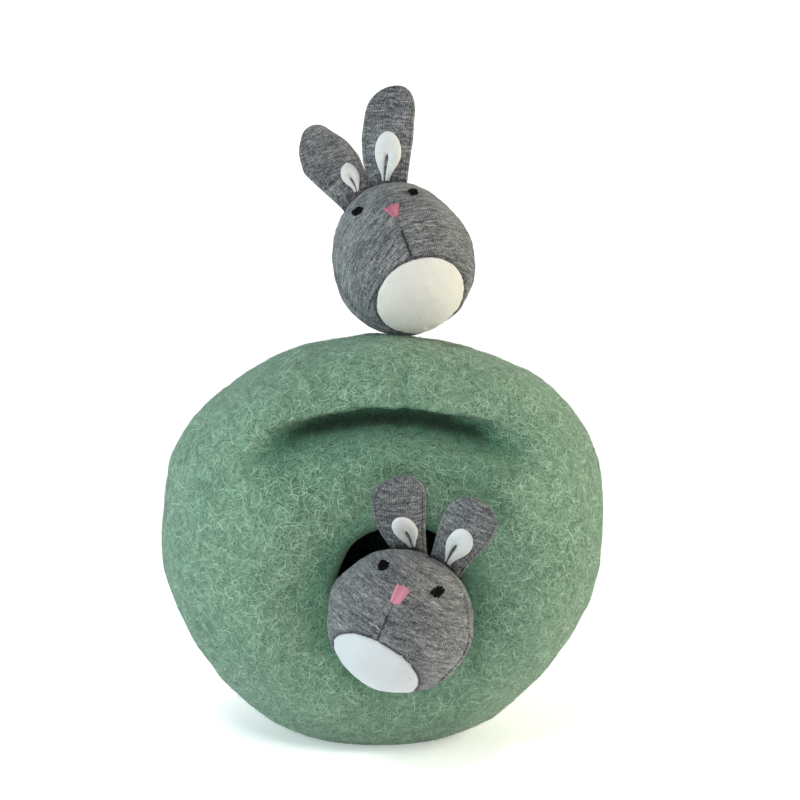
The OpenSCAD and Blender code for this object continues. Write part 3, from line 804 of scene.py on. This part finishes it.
class Ear:
    """An ear in its own frame: X across, Z from root to tip, -Y its front."""

    def __init__(self, bunny, side, root, turns, gap, length, left, right, curl, sway, shift, petal):
        self.b, self.side, self.length = bunny, side, length
        x, y = root
        z = bunny.crown * math.sqrt(1 - (x * x + y * y) / BODY_R ** 2)
        n = unit(np.array([x / BODY_R ** 2, y / BODY_R ** 2, z / bunny.crown ** 2]))
        self.root = np.array([x, y, z - 0.2]) + (EAR_T / 2 + gap) * n
        self.turn = turn("y", turns[0]) @ turn("x", turns[1]) @ turn("z", turns[2])
        self.left, self.right, self.petal = left, right, petal
        self.curl, self.sway, self.shift = curl, sway, shift
        self.seed = bunny.seed + (40 if side == "left" else 50)

    def world(self, p):
        return self.b.world(self.root + np.asarray(p, float) @ self.turn.T)

    def half(self, t, table):
        """Half width at a share t of the length: a smooth curve through the table, rounded off at the tip."""
        k = np.linspace(0, 0.86, len(table))
        body = np.interp(t, k, table)
        for _ in range(2):
            body = np.convolve(np.pad(body, 4, "edge"), np.ones(9) / 9, "valid")
        tip = np.sqrt(np.maximum(0, 1 - (np.maximum(t - 0.66, 0) / 0.34) ** 2.3))
        return body * tip

    def down_to_body(self, x, y):
        """How far below the root the body's surface lies, under points of the ear's own X and Y."""
        low, high = np.full(x.shape, -17.0), np.full(x.shape, 4.0)
        for _ in range(24):
            mid = (low + high) / 2
            p = self.root + np.stack([x, y, mid], -1) @ self.turn.T
            reach = self.b.profile(np.minimum(p[:, 2] + 0.5, self.b.crown)) * (p[:, 2] < self.b.crown)
            inside = np.hypot(p[:, 0], p[:, 1]) < reach
            low, high = np.where(inside, mid, low), np.where(inside, high, mid)
        return high

    def build(self):
        """The ear's two layers as one sewn, softly filled skin, gathered at its root."""
        nt, ns = 130, 72
        t = 1 - (1 - np.linspace(0, 1, nt)) ** 1.3
        wl, wr = self.half(t, self.left), self.half(t, self.right)
        s = np.sin(np.linspace(-1, 1, ns) * math.pi / 2)
        T, S = np.meshgrid(t, s, indexing="ij")
        X = np.where(S < 0, S * wl[:, None], S * wr[:, None])
        pad = (1 - np.abs(S) ** 2.6) ** 0.55
        belly = 0.60 + 0.40 * np.sin(math.pi * np.clip(T * 1.05 + 0.05, 0, 1))
        thick = EAR_T / 2 * belly * np.clip((1 - T) / 0.09, 0, 1) ** 0.5
        thick = thick * (0.30 + 0.70 * step01(T / 0.10))
        X2 = X + self.sway * T ** 2 + self.shift * (1 - T) ** 2
        p3 = np.stack([X, X * 0, T * self.length], -1).reshape(-1, 3)
        soft = (0.42 * waves(p3, 14, self.seed) + 0.17 * waves(p3, 5.5, self.seed + 1)).reshape(nt, ns)
        gathers = (0.35 * np.cos(X * 1.7 + 0.6) + 0.2 * np.cos(X * 3.1)) * (1 - step01(T / 0.2))
        rim = -0.42 * bell((np.abs(S) - 0.84) / 0.05) * (T < 0.97)
        mid = self.curl * T ** 2 + 0.8 * S ** 2 * (1 - T)
        grids = []
        for sign in (-1, 1):
            Y = mid + sign * ((thick + rim + soft * 0.5) * pad + gathers * pad + 0.16)
            drop = self.down_to_body(X2[0], Y[0])
            Z = self.length * T + drop[None, :] * (1 - T) ** 4
            grids.append(np.stack([X2, Y, Z], -1))
        self.front = grids[0], X2, grids[0][..., 2]
        Z = self.length * T
        verts = np.concatenate([g.reshape(-1, 3) for g in grids])
        f = grid_faces(nt, ns, False)
        off = nt * ns
        faces = f.tolist() + (f[:, ::-1] + off).tolist() + side_walls(nt, ns)
        k = np.arange(ns - 1)
        for row, flip in ((0, True), (nt - 1, False)):
            q = np.stack([row * ns + k, row * ns + k + 1, row * ns + k + 1 + off, row * ns + k + off], -1)
            faces += (q if not flip else q[:, ::-1]).tolist()
        name = f"{self.b.name}_{self.side}_ear"
        ob = mesh_object(name + "_cloth", self.world(verts), faces, JERSEY)
        bpy.context.view_layer.objects.active = ob
        ob.select_set(True)
        bpy.ops.object.mode_set(mode="EDIT")
        bpy.ops.mesh.select_all(action="SELECT")
        bpy.ops.mesh.normals_make_consistent(inside=False)
        bpy.ops.object.mode_set(mode="OBJECT")
        ob.select_set(False)
        base = np.stack([X, Z, np.full_like(X, 7 + self.seed)], -1).reshape(-1, 3)
        vector_attribute(ob, "knit", np.concatenate([base, base + [3.3, 1.7, 2]]))
        shade = (0.45 + 0.55 * step01(T / 0.07)) * (1 - 0.25 * bell((np.abs(S) - 0.86) / 0.04) * (T < 0.95))
        float_attribute(ob, "shade", np.concatenate([shade.ravel(), shade.ravel()]))
        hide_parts(name + "_front", name + "_back")
        self.bend(ob, name)
        self.build_lining(name)

    def bend(self, ob, name):
        start, end = self.world([0, 0, -1.5]) * MM, self.world([0, 0, 8]) * MM
        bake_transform(ob)

    def front_at(self, x, z):
        """Points of the ear's front face above x and z, in the ear's own frame."""
        g, X, Z = self.front
        out = np.zeros((len(x), 3))
        middle = Z[:, Z.shape[1] // 2]
        rows = np.clip(np.searchsorted(middle, z), 0, len(Z) - 1)
        for i, (r, xi, zi) in enumerate(zip(rows, x, z)):
            out[i] = xi, np.interp(xi, X[r], g[r, :, 1]), zi
        return out

    def build_lining(self, name):
        """A folded petal of white jersey set into the ear's front, with a crease up its middle."""
        cx, z0, tall, wide, slant = self.petal
        nt, ns = 90, 64
        t = np.linspace(0, 1, nt)
        s = np.sin(np.linspace(-1, 1, ns) * math.pi / 2)
        tip = np.sqrt(np.maximum(1 - np.maximum(t - 0.6, 0) ** 2 / 0.16, 0))
        w = wide / 2 * tip * (0.2 + 0.8 * step01(t / 0.55)) ** 0.75
        T, S = np.meshgrid(t, s, indexing="ij")
        X = cx + slant * T * tall + S * w[:, None] + 0.25 * np.sin(T * 5 + self.seed)
        Z = z0 + tall * T
        under = self.front_at(X.reshape(-1), Z.reshape(-1)).reshape(nt, ns, 3)
        roll = (1 - np.abs(S) ** 2.4) ** 0.5
        line = -0.12 + 0.2 * np.sin(T * 2.2 + self.seed)
        crease = bell((S - line) / (0.20 - 0.06 * T)) * (1 - step01((T - 0.42) / 0.22))
        hollow = 0.45 * bell((S - line) / 0.5) * (1 - step01((T - 0.55) / 0.3))
        p3 = np.stack([X, Z * 0, Z], -1).reshape(-1, 3)
        arch = 0.5 + 0.5 * np.sin(math.pi * np.clip(T * 0.85 + 0.1, 0, 1))
        h = 1.9 * roll * arch * (1 - 0.92 * crease - hollow)
        h += 0.10 * waves(p3, 8, self.seed + 9).reshape(nt, ns) * roll - 0.2
        g = under.copy()
        g[..., 1] -= h
        f = grid_faces(nt, ns, False)
        back = under.copy()
        back[..., 1] += 0.5
        verts = np.concatenate([g.reshape(-1, 3), back.reshape(-1, 3)])
        faces = f.tolist() + (f[:, ::-1] + nt * ns).tolist() + side_walls(nt, ns)
        ob = mesh_object(name + "_lining_petal", self.world(verts), faces, LINING)
        base = np.stack([X, Z, np.full_like(X, self.seed)], -1).reshape(-1, 3)
        vector_attribute(ob, "knit", np.concatenate([base, base]))
        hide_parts(name + "_lining")
        self.bend(ob, name)


roof = Bunny("roof_bunny", 39, (ROOF_X, ROOF_Y, 213.0), (-26, -22.5, 11), (13.6, 12.8, 24.3), (-32, 6), 100)
peek = Bunny("peek_bunny", 29.8, (10.5, -77.5, 71.4), (-6, 24.3, -16.2), (12.9, 12.9, 19.6), (5, -4), 200)
roof.seam, roof.seam_thread, peek.seam, peek.seam_thread = (4.8, -7.6), 0.27, (2.6, -7.4), 0.17
roof.nose, roof.nose_thread, roof.white = (7.6, 7.6, 2.2), PINK, CREAM_RIB
peek.nose, peek.nose_thread, peek.white = (6.2, 8.8, 3.8), PALE_PINK, WHITE_RIB
roof.roots, peek.roots = ((-11, -4), (6, -4)), ((-12.5, 4), (8, 4))
for b in (roof, peek):
    body = build_body(b)
    patch = build_patch(b)
    build_face(b)

# left and right hold half widths from the root up, on each side of the middle line; petal holds the lining's
# x, z, height, width and slant
Ear(roof, "left", root=(-11, -4), turns=(-4, -14, 10), gap=3.0, length=39.5,
    left=(7, 11.3, 14.6, 12.6, 9.7), right=(9.5, 11.5, 12.9, 11.5, 7.6),
    curl=-1.5, sway=0.5, shift=2.5, petal=(3.9, -3.2, 15.5, 8.5, 0.10)).build()
Ear(roof, "right", root=(6, -4), turns=(23.5, 10, -6), gap=1.1, length=42,
    left=(7.5, 11.8, 13.4, 13.2, 13.2), right=(9, 9.6, 10.2, 9.6, 9.4),
    curl=-1.2, sway=2.7, shift=0, petal=(-0.3, -2.4, 22.5, 12, 0.0)).build()
Ear(peek, "left", root=(-12.5, 4), turns=(-22, 43, 10), gap=0.6, length=37,
    left=(5.1, 9.5, 12.3, 12.8, 12.6), right=(9.1, 9.6, 10.6, 10.8, 10.6),
    curl=1.0, sway=3.4, shift=0, petal=(3.4, -1.2, 18.5, 10.4, -0.15)).build()
Ear(peek, "right", root=(8, 4), turns=(8, 40, 10), gap=1.5, length=38,
    left=(9.4, 10.5, 11.6, 11.5, 10.5), right=(5.2, 7.8, 10.8, 12.3, 11.6),
    curl=1.0, sway=0.0, shift=0, petal=(-1.2, -1.0, 23, 11.0, 0.07)).build()


# ---------------------------------------------------------------- floor, light, camera
def build_backdrop():
    """A white sweep: floor in front, rising in a wide curve behind."""
    half, rows = 5.0, []
    for y in np.linspace(-3.0, 1.2, 8):
        rows.append((y, 0.0))
    for a in np.linspace(0, math.pi / 2, 16)[1:]:
        rows.append((1.2 + 1.6 * math.sin(a), 1.6 - 1.6 * math.cos(a)))
    rows.append((2.8, 4.0))
    verts = [(x * half * 1000, y * 1000, z * 1000 - 0.2) for y, z in rows for x in (-1, 1)]
    faces = [[2 * i, 2 * i + 1, 2 * i + 3, 2 * i + 2] for i in range(len(rows) - 1)]
    g = Graph("white_sweep")
    d = g.node("ShaderNodeBsdfDiffuse")
    d.inputs[0].default_value = (0.9, 0.9, 0.9, 1)
    e = g.node("ShaderNodeEmission")
    e.inputs[0].default_value = (1, 1, 1, 1)
    e.inputs[1].default_value = 0.32
    a = g.node("ShaderNodeAddShader")
    g.tree.links.new(d.outputs[0], a.inputs[0])
    g.tree.links.new(e.outputs[0], a.inputs[1])
    g.tree.links.new(a.outputs[0], g.out.inputs[0])
    mesh_object("white_sweep", verts, faces, g.mat)


build_backdrop()


def area(name, location, target, size, power, color=(1, 1, 1)):
    data = bpy.data.lights.new(name, "AREA")
    data.shape, data.size, data.energy, data.color = "SQUARE", size, power, color
    ob = bpy.data.objects.new(name, data)
    ob.location = location
    ob.rotation_euler = (Vector(target) - Vector(location)).to_track_quat("-Z", "Y").to_euler()
    bpy.context.scene.collection.objects.link(ob)


area("key", (-0.45, -0.95, 1.55), (0, 0, 0.12), 0.6, 18, (1, 0.99, 0.97))
area("cool_left", (-1.4, -0.25, 0.35), (0, 0, 0.10), 0.9, 14, (0.50, 0.93, 1.0))
area("warm_right", (1.4, 0.12, 0.50), (0, 0, 0.10), 0.9, 24, (1.0, 0.94, 0.68))
area("low_front", (-0.1, -1.5, 0.04), (0, 0, 0.03), 0.6, 8)

world = bpy.data.worlds.new("studio")
bpy.context.scene.world = world
world.use_nodes = True
world.node_tree.nodes["Background"].inputs[0].default_value = (0.96, 0.98, 1.0, 1)
world.node_tree.nodes["Background"].inputs[1].default_value = 0.47

cam = bpy.data.cameras.new("camera")
cam.lens, cam.sensor_width = 130, 36
cam_ob = bpy.data.objects.new("camera", cam)
elevation, distance, target = math.radians(10), 1.3, Vector((0.0099, 0, 0.153))
cam_ob.location = target + Vector((0, -math.cos(elevation), math.sin(elevation))) * distance
cam_ob.rotation_euler = (target - cam_ob.location).to_track_quat("-Z", "Y").to_euler()
bpy.context.scene.collection.objects.link(cam_ob)
bpy.context.scene.camera = cam_ob
bpy.context.scene.view_settings.view_transform = "Standard"
